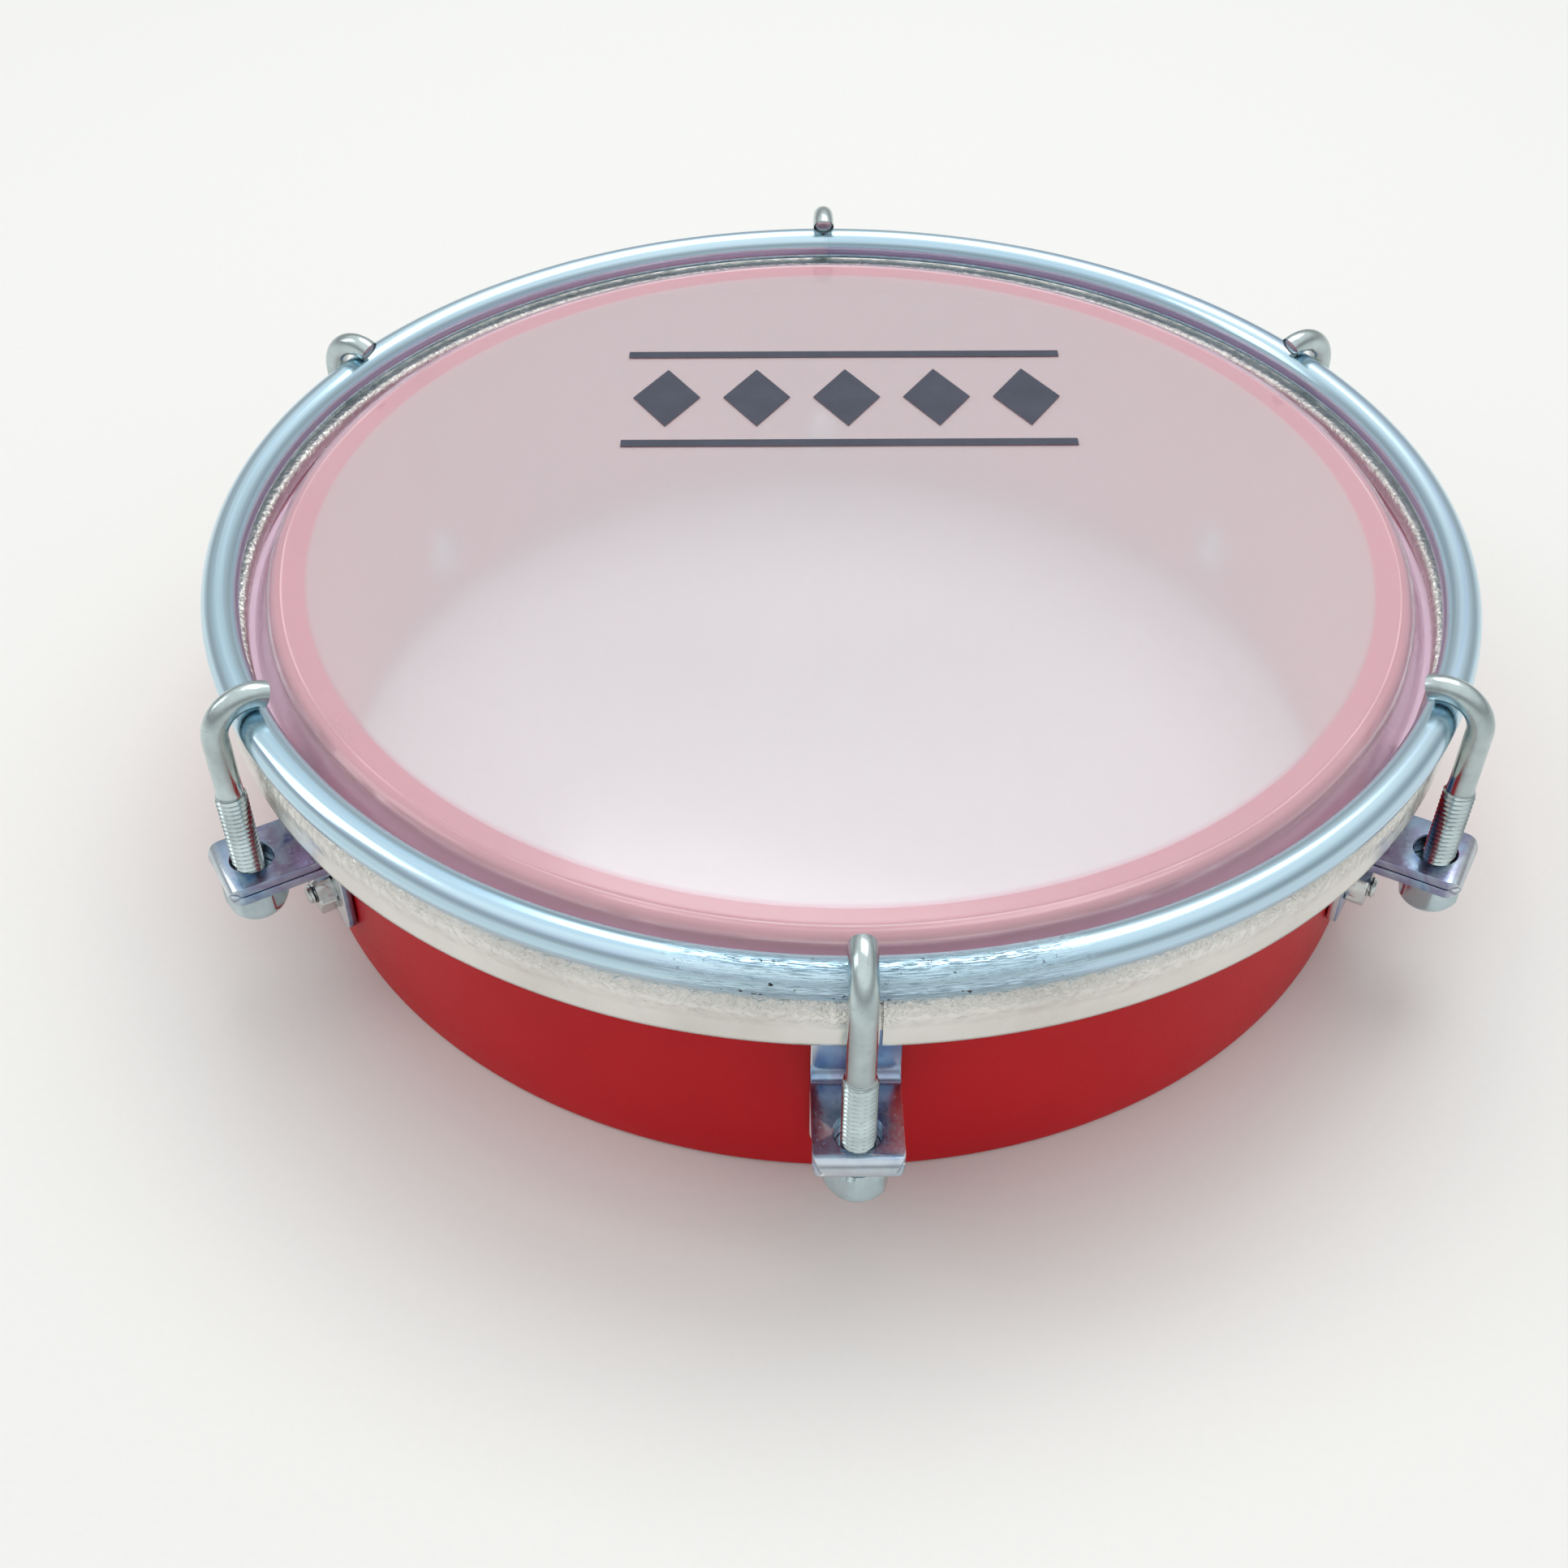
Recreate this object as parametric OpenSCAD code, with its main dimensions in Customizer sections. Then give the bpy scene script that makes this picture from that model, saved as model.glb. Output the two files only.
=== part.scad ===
// Six-lug hand drum: an open-bottomed moulded shell, a film head in a rolled aluminium flesh hoop,
// a round-bar counter hoop, and six J-hooks drawn down by nuts under folded sheet-steel brackets.
// +Z is up, z = 0 is the foot of the shell, the drum's axis is Z, and lug 1 points along -Y.

/* [Shell] */
// Outside diameter of the shell, a six-inch drum
shell_d = 152.4; // [151:0.1:153]
// Height of the shell from its foot to its bearing edge
shell_h = 40.4; // [39.5:0.1:41]
// Wall thickness of the shell
shell_wall = 5; // [4:0.1:6]
// Rounding of the outer bearing edge that the head bends over
bearing_r = 1.6; // [1.2:0.1:1.8]
// Rounding of the shell's other edges
edge_r = 0.8; // [0.4:0.1:1.2]

/* [Head] */
// Thickness of the plastic film
film_t = 0.25; // [0.2:0.05:0.3]
// Steepness of the collar below the horizontal, in degrees
collar_slope = 60; // [56:1:64]
// Radius at which the collar turns under the flesh hoop
collar_end_r = 78.4; // [78.2:0.1:78.5]

/* [Flesh hoop] */
// Outside radius of the flesh hoop
flesh_r = 83.75; // [83.5:0.05:84]
// Radius of the flesh hoop's inside wall
flesh_inner_r = 79.2; // [79.1:0.05:79.4]
// Height of the flesh hoop's lower edge
flesh_z = 31.6; // [31:0.1:32.2]
// Height of the flesh hoop's shoulder
flesh_top = 38.5; // [38.2:0.1:38.8]
// Thickness of its aluminium strip
flesh_t = 0.9; // [0.7:0.05:1]
// Rounding of its shoulder
shoulder_r = 1.7; // [1.2:0.1:2]
// Width of the butt seam where the strip's ends meet
seam_w = 0.35; // [0.2:0.05:0.6]
// Angle of the butt seam past lug 1, in degrees
seam_angle = 1.5; // [1:0.1:3]

/* [Counter hoop] */
// Radius of the hoop's centre line
rim_r = 82.05; // [82:0.01:82.1]
// Diameter of its round bar
rim_bar_d = 4.8; // [4.6:0.1:4.8]

/* [Tension hooks] */
// Number of lugs
lug_count = 6; // [4:1:8]
// Distance of each hook's shank from the drum's axis
rod_r = 86.9; // [86.8:0.05:87.1]
// Diameter of the plain shank
shank_d = 3.3; // [3.2:0.1:3.6]
// Outside diameter of the rolled thread
thread_d = 4; // [3.8:0.1:4]
// Thread pitch
pitch = 0.7; // [0.5:0.05:0.8]
// Height at which the thread begins
thread_top = 31.5; // [28:0.5:33]
// Radius of the curl's centre line
curl_r = 4.7; // [4.7:0.05:4.8]
// Sweep of the curl over the counter hoop, in degrees
curl_sweep = 118; // [100:1:130]

/* [Brackets] */
// Width of the bracket's strip
strip_w = 10.2; // [9.5:0.1:11]
// Thickness of the strip
strip_t = 1.3; // [1.2:0.05:1.4]
// Height of the ledge's upper face
ledge_z = 20.6; // [20:0.1:21]
// Reach of the ledge's folded edge from the drum's axis
ledge_r = 91; // [90.5:0.1:92]
// Gap between the folded strip's two layers
fold_gap = 0.15; // [0.1:0.05:0.2]
// Inside radius of the strip's bends
bend_r = 1.7; // [1.4:0.1:2]
// Clearance between the upper leg and the shell
leg_gap = 0.9; // [0.8:0.1:1]
// Height of the upper leg's end
leg_top = 32; // [27:0.5:33]
// Height of the lower leg's end
leg_bottom = 6; // [5:0.5:7]
// Diameter of the ledge's hole for the hook
ledge_hole_d = 5.4; // [5.3:0.1:5.6]
// Distance of the ledge's hole from the drum's axis
ledge_hole_r = 86.4; // [86.3:0.05:86.6]

/* [Nuts and screws] */
// Width across the flats of a tuning nut
nut_af = 7; // [6.5:0.1:7]
// Height of a tuning nut
nut_h = 5; // [4:0.1:5.2]
// Running clearance around a thread
thread_gap = 0.05; // [0.03:0.01:0.08]
// Diameter of the screw that holds a bracket
screw_d = 3; // [2.8:0.1:3.2]
// Height of that screw
screw_z = 10.8; // [10:0.1:12]
// Diameter of the screw's round head
screw_head_d = 7; // [6:0.1:7.5]
// Height of the screw's round head
screw_head_h = 2; // [1.8:0.1:2.4]
// Length of the screw's shank
screw_len = 9.8; // [9:0.1:10.5]
// Width across the flats of the screw's nut
screw_nut_af = 5.5; // [5:0.1:5.5]
// Height of the screw's nut
screw_nut_h = 2.4; // [2:0.1:2.6]

/* [Hidden] */
$fn = 96;
function numbered(name) = [for (i = [1 : lug_count]) str(name, "_", i)];

cut = 1; // how far a cutting shape runs past the faces that it cuts
touch = 0.02; // gap between faces that rest on each other
shell_r = shell_d / 2;
shell_in_r = shell_r - shell_wall;
bar_r = rim_bar_d / 2;
rim_z = flesh_top + touch + bar_r;

// The film's middle surface runs flat, over the bearing edge, down the collar and up into the hoop.
film_z = shell_h + touch + film_t / 2;
arc_x = shell_r - bearing_r;
arc_z = shell_h - bearing_r;
arc_r = film_z - arc_z;
collar_x = arc_x + arc_r * sin(collar_slope);
collar_z = arc_z + arc_r * cos(collar_slope);
collar_end_z = collar_z - (collar_end_r - collar_x) * tan(collar_slope);
lip_gap = 0.18; // play of the film's lip in the channel
lip_x = flesh_inner_r + flesh_t + lip_gap + film_t / 2;
lip_top = flesh_top - flesh_t - 0.3;
inner_wall_z = collar_end_z + 0.8;
lock_in_r = lip_x + film_t / 2 + lip_gap;
lock_out_r = flesh_r - flesh_t - 0.1;
lock_z = flesh_z + 1.4;

curl_x = rod_r - curl_r;
curl_z = 40.5;
nut_top = ledge_z - 2 * strip_t - fold_gap - 0.05;
rod_end = nut_top - nut_h + 0.3;
fold_x = ledge_r - strip_t - fold_gap / 2;
fold_z = ledge_z - strip_t - fold_gap / 2;
ledge_under = ledge_z - 2 * strip_t - fold_gap;
leg_in = shell_r + 0.05;
upper_in = shell_r + leg_gap;
head_seat = sqrt(pow(shell_in_r, 2) - pow(screw_head_d / 2, 2)) - touch;

RED = [0.67, 0.13, 0.15];
FILM = [0.90, 0.84, 0.85, 0.6];
ALUMINIUM = [0.78, 0.78, 0.75];
BLUE_ZINC = [0.66, 0.77, 0.84];
PLAIN_ZINC = [0.72, 0.77, 0.75];

// Removes what lies outside a rounded corner at [x, z]; sx and sz say which way the corner points.
module corner_cut(x, z, r, sx, sz) {
    translate([x, z]) mirror([sx < 0 ? 1 : 0, 0]) mirror([0, sz < 0 ? 1 : 0])
        difference() {
            translate([-r, -r]) square(r + cut);
            translate([-r, -r]) circle(r = r);
        }
}

// A straight strip of thickness t from p to q, with round ends.
module strip(p, q, t) {
    d = q - p;
    translate(p) rotate(atan2(d[1], d[0])) translate([0, -t / 2]) square([norm(d), t]);
    translate(p) circle(d = t, $fn = 32);
    translate(q) circle(d = t, $fn = 32);
}

// An arc-shaped strip between two radii and two angles less than 180 degrees apart.
module arc_strip(x, z, r_in, r_out, a0, a1) {
    reach = r_out * 3;
    translate([x, z]) intersection() {
        difference() {
            circle(r = r_out);
            circle(r = r_in);
        }
        polygon([[0, 0], reach * [cos(a0), sin(a0)],
            reach * [cos((a0 + a1) / 2), sin((a0 + a1) / 2)], reach * [cos(a1), sin(a1)]]);
    }
}

// Places a sub-part drawn in the X-Z plane at lug i, with its X along the lug's radius.
module at_lug(i) {
    rotate(-90 + (i - 1) * 360 / lug_count) children();
}

module shell() {
    color(RED) rotate_extrude() difference() {
        translate([shell_in_r, 0]) square([shell_wall, shell_h]);
        corner_cut(shell_r, shell_h, bearing_r, 1, 1);
        corner_cut(shell_in_r, shell_h, edge_r, -1, 1);
        corner_cut(shell_r, 0, edge_r, 1, -1);
        corner_cut(shell_in_r, 0, edge_r, -1, -1);
    }
}

module drilled_shell() {
    color(RED) difference() {
        shell();
        for (i = [1 : lug_count]) at_lug(i) translate([shell_in_r - cut, 0, screw_z])
            rotate([0, 90, 0]) cylinder(d = screw_d + 0.2, h = shell_wall + 2 * cut, $fn = 32);
    }
}

module drumhead_film() {
    color(FILM) rotate_extrude() {
        translate([0, film_z - film_t / 2]) square([arc_x, film_t]);
        arc_strip(arc_x, arc_z, arc_r - film_t / 2, arc_r + film_t / 2, 90 - collar_slope, 90);
        strip([collar_x, collar_z], [collar_end_r, collar_end_z], film_t);
        strip([collar_end_r, collar_end_z], [lip_x, collar_end_z], film_t);
        strip([lip_x, collar_end_z], [lip_x, lip_top], film_t);
    }
}

module film_lock_ring() {
    chamfer = 0.4;
    color(ALUMINIUM) rotate_extrude() difference() {
        translate([lock_in_r, lock_z]) square([lock_out_r - lock_in_r, lip_top - lock_z]);
        for (x = [lock_in_r, lock_out_r], z = [lock_z, lip_top])
            corner_cut(x, z, chamfer, x > lock_in_r ? 1 : -1, z > lock_z ? 1 : -1);
    }
}

module flesh_hoop_section() {
    difference() {
        translate([flesh_inner_r, flesh_z]) square([flesh_r - flesh_inner_r, flesh_top - flesh_z]);
        corner_cut(flesh_r, flesh_top, shoulder_r, 1, 1);
        corner_cut(flesh_inner_r, flesh_top, flesh_t, -1, 1);
        // The channel inside the strip
        difference() {
            translate([flesh_inner_r + flesh_t, flesh_z - cut])
                square([flesh_r - flesh_inner_r - 2 * flesh_t, flesh_top - flesh_z - flesh_t + cut]);
            corner_cut(flesh_r - flesh_t, flesh_top - flesh_t, shoulder_r - flesh_t, 1, 1);
        }
        // The inside wall stops short, so that the film can turn in under it
        translate([flesh_inner_r - cut, flesh_z - cut])
            square([flesh_t + 2 * cut, inner_wall_z - flesh_z + cut]);
    }
}

module flesh_hoop() {
    color(ALUMINIUM) difference() {
        rotate_extrude() flesh_hoop_section();
        rotate(-90 + seam_angle) translate([flesh_inner_r - cut, -seam_w / 2, flesh_z - cut])
            cube([flesh_r - flesh_inner_r + 2 * cut, seam_w, flesh_top - flesh_z + 2 * cut]);
    }
}

module counter_hoop() {
    color(BLUE_ZINC) rotate_extrude() translate([rim_r, rim_z]) circle(r = bar_r);
}

// The strip seen from its edge: upper leg, ledge, fold, ledge again and lower leg.
module bracket_section() {
    upper_x = upper_in + strip_t + bend_r;
    lower_x = leg_in + strip_t + bend_r;
    translate([upper_in, ledge_z + bend_r]) square([strip_t, leg_top - ledge_z - bend_r]);
    arc_strip(upper_x, ledge_z + bend_r, bend_r, bend_r + strip_t, 180, 270);
    translate([upper_x, ledge_z - strip_t]) square([fold_x - upper_x, strip_t]);
    difference() {
        translate([fold_x, fold_z]) circle(r = strip_t + fold_gap / 2);
        translate([fold_x, fold_z]) circle(r = fold_gap / 2, $fn = 32);
        translate([fold_x - 2 * strip_t, ledge_under - cut]) square([2 * strip_t, 3 * strip_t + cut]);
    }
    translate([lower_x, ledge_under]) square([fold_x - lower_x, strip_t]);
    arc_strip(lower_x, ledge_under - bend_r, bend_r, bend_r + strip_t, 90, 180);
    translate([leg_in, leg_bottom]) square([strip_t, ledge_under - bend_r - leg_bottom]);
}

module bracket(i) {
    end_r = 2.4; // rounding of the strip's end corners
    fold_corner_r = 1.2; // rounding of the fold's two corners
    color(BLUE_ZINC) at_lug(i) difference() {
        rotate([90, 0, 0]) linear_extrude(strip_w, center = true) bracket_section();
        translate([ledge_hole_r, 0, ledge_under - cut])
            cylinder(d = ledge_hole_d, h = 2 * strip_t + fold_gap + 2 * cut);
        translate([leg_in - cut, 0, screw_z]) rotate([0, 90, 0])
            cylinder(d = screw_d + 0.3, h = strip_t + 2 * cut, $fn = 32);
        // Round corners on the ends of both legs, then on the fold
        rotate([90, 0, 90]) translate([0, 0, leg_in - cut]) linear_extrude(3 * strip_t + 2 * cut) {
            for (s = [-1, 1]) {
                corner_cut(s * strip_w / 2, leg_bottom, end_r, s, -1);
                corner_cut(s * strip_w / 2, leg_top, end_r, s, 1);
            }
        }
        translate([0, 0, ledge_under - cut]) linear_extrude(2 * strip_t + fold_gap + 2 * cut)
            for (s = [-1, 1]) corner_cut(ledge_r, s * strip_w / 2, fold_corner_r, 1, s);
    }
}

module tension_hook(i) {
    chamfer = 0.4;
    color(PLAIN_ZINC) at_lug(i) {
        translate([rod_r, 0, rod_end]) rotate_extrude() polygon([[0, 0], [thread_d / 2 - chamfer, 0],
            [thread_d / 2, chamfer], [thread_d / 2, thread_top - rod_end],
            [shank_d / 2, thread_top - rod_end + chamfer], [shank_d / 2, curl_z - rod_end],
            [0, curl_z - rod_end]]);
        translate([curl_x, 0, curl_z]) rotate([90, 0, 0]) rotate_extrude(angle = curl_sweep)
            translate([curl_r, 0]) circle(d = shank_d);
    }
}

// A hexagonal nut with a domed lower end.
module tuning_nut(i) {
    dome_r = 4.5;
    dome_z = nut_top - nut_h + 3.6;
    color(PLAIN_ZINC) at_lug(i) translate([rod_r, 0, 0]) difference() {
        intersection() {
            translate([0, 0, nut_top - nut_h]) rotate(15)
                cylinder(d = nut_af / cos(30), h = nut_h, $fn = 6);
            union() {
                translate([0, 0, dome_z]) sphere(r = dome_r);
                translate([0, 0, dome_z]) cylinder(r = dome_r, h = nut_h);
            }
        }
        translate([0, 0, nut_top - nut_h - cut])
            cylinder(r = thread_d / 2 + thread_gap, h = nut_h + 2 * cut);
    }
}

// A slotted round-head screw, put in from inside the shell.
module bracket_screw(i) {
    slot_w = 0.9;
    slot_depth = 1;
    chamfer = 0.3;
    cap_r = (pow(screw_head_d / 2, 2) + pow(screw_head_h, 2)) / (2 * screw_head_h);
    color(PLAIN_ZINC) at_lug(i) translate([head_seat, 0, screw_z]) rotate([0, 90, 0]) {
        rotate_extrude() polygon([[0, -0.1], [screw_d / 2, -0.1], [screw_d / 2, screw_len - chamfer],
            [screw_d / 2 - chamfer, screw_len], [0, screw_len]]);
        difference() {
            intersection() {
                translate([0, 0, cap_r - screw_head_h]) sphere(r = cap_r);
                translate([0, 0, -screw_head_h]) cylinder(r = screw_head_d, h = screw_head_h);
            }
            translate([-screw_head_d, -slot_w / 2, -screw_head_h - cut])
                cube([2 * screw_head_d, slot_w, slot_depth + cut]);
        }
    }
}

module screw_nut(i) {
    color(PLAIN_ZINC) at_lug(i) translate([leg_in + strip_t + touch, 0, screw_z]) rotate([0, 90, 0])
        difference() {
            rotate(30) cylinder(d = screw_nut_af / cos(30), h = screw_nut_h, $fn = 6);
            translate([0, 0, -cut])
                cylinder(r = screw_d / 2 + 0.03, h = screw_nut_h + 2 * cut, $fn = 48);
        }
}

drilled_shell();  // shell
drumhead_film();
film_lock_ring();
flesh_hoop();
counter_hoop();
for (i = [1 : lug_count]) {
    bracket(i);
    tension_hook(i);
    tuning_nut(i);
    bracket_screw(i);
    screw_nut(i);
}
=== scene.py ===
import math

import bmesh
import bpy
from mathutils import Matrix, Vector, noise
from mathutils.geometry import tessellate_polygon


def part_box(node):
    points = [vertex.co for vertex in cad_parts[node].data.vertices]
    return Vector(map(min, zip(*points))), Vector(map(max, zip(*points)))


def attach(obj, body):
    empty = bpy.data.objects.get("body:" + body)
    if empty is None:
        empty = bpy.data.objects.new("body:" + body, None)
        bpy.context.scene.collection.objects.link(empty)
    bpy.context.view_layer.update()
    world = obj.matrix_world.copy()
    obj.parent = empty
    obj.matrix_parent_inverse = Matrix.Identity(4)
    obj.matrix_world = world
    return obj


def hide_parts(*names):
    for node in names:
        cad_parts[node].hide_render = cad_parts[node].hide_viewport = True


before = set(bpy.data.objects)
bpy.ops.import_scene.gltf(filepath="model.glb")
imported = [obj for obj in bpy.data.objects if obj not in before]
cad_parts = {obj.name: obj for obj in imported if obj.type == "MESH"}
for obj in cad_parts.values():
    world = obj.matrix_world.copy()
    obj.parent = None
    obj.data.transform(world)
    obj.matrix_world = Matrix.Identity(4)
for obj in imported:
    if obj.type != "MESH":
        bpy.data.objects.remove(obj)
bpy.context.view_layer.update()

MM = 0.001
LUGS = 6
TAU = 2 * math.pi


# ---------------------------------------------------------------- sizes from the frame, in metres

def node_box(node):
    """The lowest and highest corners of a CAD node's box."""
    low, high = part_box(node)
    return low, high


shell_high = node_box("shell")[1]
film_low, film_high = node_box("drumhead_film")
flesh_low, flesh_high = node_box("flesh_hoop")
rim_low, rim_high = node_box("counter_hoop")
hook_low = node_box("tension_hook_1")[0]
nut_low, nut_high = node_box("tuning_nut_1")
bracket_low, bracket_high = node_box("bracket_1")
screw_low, screw_high = node_box("bracket_screw_1")
screw_nut_low, screw_nut_high = node_box("screw_nut_1")

shell_r = shell_high.y
shell_h = shell_high.z
shell_wall = 5 * MM
bearing_r = 1.6 * MM        # rounding that the head bends over
edge_r = 0.8 * MM

film_t = 0.25 * MM
film_top = film_high.z
film_glow_in = 68 * MM       # the radii between which the film's colour goes from milky to a painted pink glow of the red shell showing through
film_glow_out = 80 * MM
collar_slope = math.radians(60)
collar_end_r = 78.4 * MM    # where the collar turns in under the flesh hoop
film_lip_r = film_high.y - film_t / 2

flesh_r = flesh_high.y
flesh_in_r = 79.2 * MM
flesh_z = flesh_low.z
flesh_top = flesh_high.z
flesh_t = 0.9 * MM
shoulder_r = 2.6 * MM
seam_angle = math.radians(-90 + 1.5)
seam_w = 0.35 * MM

bar_r = (rim_high.z - rim_low.z) / 2
rim_r = rim_high.y - bar_r
rim_z = (rim_high.z + rim_low.z) / 2

shank_r = 1.65 * MM
thread_r = 2.0 * MM
thread_depth = 0.46 * MM
pitch = 0.7 * MM
rod_r = -hook_low.y - thread_r      # the thread stands out furthest
rod_end = hook_low.z
thread_tops = [z * MM for z in (31.0, 31.7, 31.4, 31.6, 31.3, 32.3)]      # where each hook's thread runs out
curl_r = 4.7 * MM
curl_z = 40.5 * MM
curl_sweeps = [math.radians(a) for a in (100, 118, 117, 116, 118, 117)]     # no two hooks end alike

strip_w = bracket_high.x - bracket_low.x
strip_t = 1.3 * MM
fold_gap = 0.15 * MM
bend_r = 1.7 * MM
ledge_r = -bracket_low.y
ledge_z = 20.6 * MM
leg_in = shell_r + 0.05 * MM
upper_in = shell_r + 0.9 * MM
leg_top = bracket_high.z
leg_bottom = bracket_low.z
leg_corner_r = 2.4 * MM
fold_corner_r = 1.2 * MM
ledge_hole_r = 86.4 * MM
ledge_hole_d = 5.4 * MM

nut_af = 7 * MM
nut_top = nut_high.z
nut_bottom = nut_low.z
screw_z = (screw_low.z + screw_high.z) / 2
screw_r = 1.5 * MM
screw_pitch = 0.5 * MM
screw_head_r = (screw_high.z - screw_low.z) / 2
screw_head_h = 2 * MM
screw_tip = -screw_low.y
screw_top = -screw_high.y           # the crown of the head, inside the shell
screw_nut_af = 5.5 * MM


# ---------------------------------------------------------------- mesh helpers

def new_object(name, verts, faces, body, replaces=(), mat=None, uvs=None, sharp=35):
    """A piece from vertices and faces, smooth where its faces meet at less than sharp degrees."""
    mesh = bpy.data.meshes.new(name)
    mesh.from_pydata([tuple(v) for v in verts], [], faces)
    obj = bpy.data.objects.new(name, mesh)
    bpy.context.scene.collection.objects.link(obj)
    if uvs is not None:
        layer = mesh.uv_layers.new(name="UVMap")
        for loop in mesh.loops:
            layer.data[loop.index].uv = uvs[loop.vertex_index]
    finish_mesh(mesh, sharp)
    if mat:
        mesh.materials.append(mat)
    if replaces:
        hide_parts(*replaces)
    if body:
        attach(obj, body)
    return obj


def finish_mesh(mesh, sharp):
    """Outward normals, and hard edges only at corners sharper than the given angle."""
    bm = bmesh.new()
    bm.from_mesh(mesh)
    bmesh.ops.recalc_face_normals(bm, faces=bm.faces)
    limit = math.radians(sharp)
    for edge in bm.edges:
        edge.smooth = not edge.is_manifold or edge.calc_face_angle(0) < limit
    for face in bm.faces:
        face.smooth = True
    bm.to_mesh(mesh)
    bm.free()


def arc(cx, cz, r, a0, a1, steps):
    """Points on an arc from angle a0 to a1, in degrees."""
    out = []
    for i in range(steps + 1):
        a = math.radians(a0 + (a1 - a0) * i / steps)
        out.append((cx + r * math.cos(a), cz + r * math.sin(a)))
    return out


def subdivided(points, longest):
    """A closed outline with its long sides cut into shorter ones."""
    out = []
    for (x0, z0), (x1, z1) in zip(points, points[1:] + points[:1]):
        parts = max(1, math.ceil(math.hypot(x1 - x0, z1 - z0) / longest))
        for i in range(parts):
            out.append((x0 + (x1 - x0) * i / parts, z0 + (z1 - z0) * i / parts))
    return out


def outline_lengths(points):
    """How far along a closed outline each of its points lies."""
    out = [0.0]
    for (x0, z0), (x1, z1) in zip(points, points[1:]):
        out.append(out[-1] + math.hypot(x1 - x0, z1 - z0))
    return out


def lathe(outline, steps, start=0.0, sweep=TAU, warp=None):
    """Turns a closed outline of (radius, height) about Z. An open sweep gets end caps.
    warp(radius, height, angle) moves each point, and the UVs are lengths along the turn and the outline."""
    whole = sweep >= TAU - 1e-9
    rings = steps if whole else steps + 1
    n = len(outline)
    along = outline_lengths(outline)
    middle_r = sum(r for r, _ in outline) / n
    verts, uvs, faces = [], [], []
    for i in range(rings):
        a = start + sweep * i / steps
        for (r, z), s in zip(outline, along):
            rr, zz = warp(r, z, a) if warp else (r, z)
            verts.append((rr * math.cos(a), rr * math.sin(a), zz))
            uvs.append((middle_r * (a - start), s))
    for i in range(steps):
        j = (i + 1) % rings
        for k in range(n):
            m = (k + 1) % n
            faces.append((i * n + k, j * n + k, j * n + m, i * n + m))
    if not whole:
        flat = [Vector((r, z, 0)) for r, z in outline]
        for tri in tessellate_polygon([flat]):
            faces.append(tuple(tri))
            faces.append(tuple((rings - 1) * n + t for t in reversed(tri)))
    return verts, faces, uvs


def tube(rings):
    """Joins rings of equal numbers of points into a closed solid, with a fan at each end."""
    n = len(rings[0])
    verts = [v for ring in rings for v in ring]
    faces = []
    for i in range(len(rings) - 1):
        for k in range(n):
            m = (k + 1) % n
            faces.append((i * n + k, i * n + m, (i + 1) * n + m, (i + 1) * n + k))
    for ring, start in ((rings[0], 0), (rings[-1], (len(rings) - 1) * n)):
        centre = sum((Vector(p) for p in ring), Vector()) / n
        verts.append(tuple(centre))
        for k in range(n):
            faces.append((start + k, start + (k + 1) % n, len(verts) - 1))
    return verts, faces


def cut_away(obj, cutters):
    """Cuts closed solids out of a piece, then deletes them."""
    for cutter in cutters:
        mod = obj.modifiers.new("cut", "BOOLEAN")
        mod.operation = "DIFFERENCE"
        mod.solver = "EXACT"
        mod.object = cutter
        bpy.context.view_layer.update()
        evaluated = obj.evaluated_get(bpy.context.evaluated_depsgraph_get())
        mesh = bpy.data.meshes.new_from_object(evaluated)
        obj.modifiers.clear()
        old = obj.data
        obj.data = mesh
        bpy.data.meshes.remove(old)
        bpy.data.objects.remove(cutter)


def cutter_from(verts, faces):
    """A closed mesh made only to be cut away from another."""
    mesh = bpy.data.meshes.new("cutter")
    mesh.from_pydata([tuple(v) for v in verts], [], faces)
    finish_mesh(mesh, 35)
    obj = bpy.data.objects.new("cutter", mesh)
    bpy.context.scene.collection.objects.link(obj)
    return obj


def round_cutter(profile, place, segments=64):
    """A turned cutter: profile lists (radius, height) from one end to the other."""
    rings = []
    for r, z in profile:
        rings.append([place @ Vector((r * math.cos(TAU * k / segments),
                                      r * math.sin(TAU * k / segments), z)) for k in range(segments)])
    return cutter_from(*tube(rings))


def lug_angle(i):
    """The direction of a lug, seen from above."""
    return math.radians(-90 + i * 360 / LUGS)


def lug_matrix(i):
    """Turns a piece drawn with its X along the lug's radius to lug i."""
    return Matrix.Rotation(lug_angle(i), 4, "Z")


def outward_at(i, r):
    """A frame on the bracket screw's axis at radius r of a lug, its z axis pointing out of the drum."""
    return lug_matrix(i) @ Matrix.Translation((r, 0, screw_z)) @ Matrix.Rotation(TAU / 4, 4, "Y")


# ---------------------------------------------------------------- materials

def new_material(name):
    """An empty Principled material: the material, its tree and its shader."""
    mat = bpy.data.materials.new(name)
    mat.use_nodes = True
    nt = mat.node_tree
    bsdf = nt.nodes["Principled BSDF"]
    return mat, nt, bsdf


def node(nt, kind, inputs=None, **props):
    """Add a shader node, and link or set its inputs."""
    n = nt.nodes.new(kind)
    for key, value in props.items():
        setattr(n, key, value)
    for key, value in (inputs or {}).items():
        if isinstance(value, bpy.types.NodeSocket):
            nt.links.new(value, n.inputs[key])
        else:
            n.inputs[key].default_value = value
    return n


def object_coords(nt, scale=(1, 1, 1)):
    """A point's place in metres, stretched by the scale."""
    coords = node(nt, "ShaderNodeTexCoord")
    mapping = node(nt, "ShaderNodeMapping", {"Vector": coords.outputs["Object"], "Scale": scale})
    return mapping.outputs["Vector"]


def uv_coords(nt, scale=(1, 1, 1)):
    """A point's place along and across a piece."""
    coords = node(nt, "ShaderNodeTexCoord")
    mapping = node(nt, "ShaderNodeMapping", {"Vector": coords.outputs["UV"], "Scale": scale})
    return mapping.outputs["Vector"]


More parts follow.
